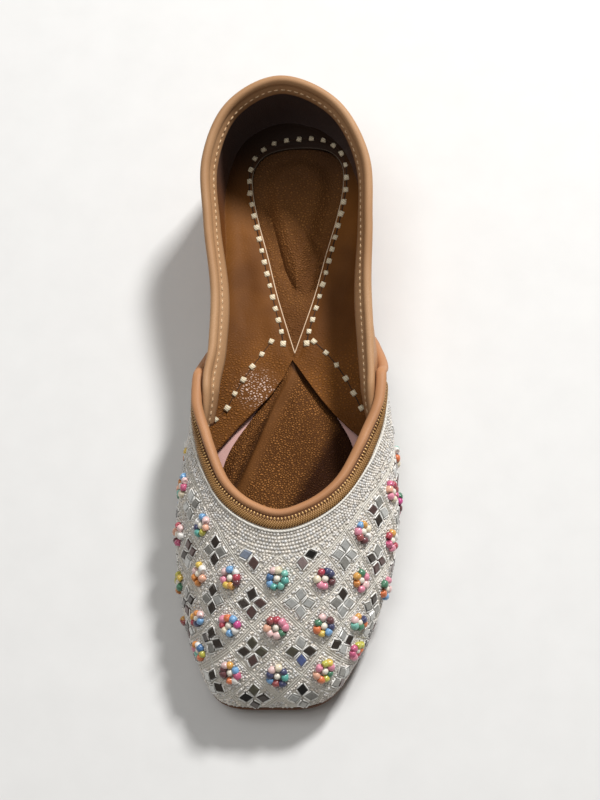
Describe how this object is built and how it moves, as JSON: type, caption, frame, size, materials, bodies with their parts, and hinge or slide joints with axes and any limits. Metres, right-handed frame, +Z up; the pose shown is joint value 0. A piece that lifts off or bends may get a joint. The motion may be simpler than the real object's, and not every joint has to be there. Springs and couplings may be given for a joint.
{
  "type": "mojari shoe",
  "caption": "Flat leather slip-on shoe for the left foot with a blunt toe, a bead and mirror embroidered vamp, a low open quarter with bound edges and a padded insole.",
  "frame": {"origin": "middle of the whole shoe in plan, on the floor it stands on", "axes": "+Z up, +Y towards the heel, -Y towards the toe, +X towards the outer side of the left foot"},
  "size_m": [0.0852, 0.2478, 0.0571],
  "materials": {
    "sole_leather": "matt vegetable-tanned leather",
    "pink_lining": "pale pink lining cloth",
    "brown_leather": "pebbled brown leather, slight gloss",
    "embroidery": "cloth covered with silver seed beads, cords, small mirrors and coloured beads",
    "tan_leather": "smooth tan leather, satin",
    "gold_braid": "twisted gold braid"
  },
  "bodies": {
    "root": {"outsole": "sole_leather", "insole": "pink_lining", "sock": "brown_leather", "heel_cushion": "brown_leather", "forefoot_pad": "brown_leather", "upper": "embroidery", "throat_binding": "tan_leather", "collar_binding": "tan_leather", "throat_braid": "gold_braid"}
  },
  "joints": []
}
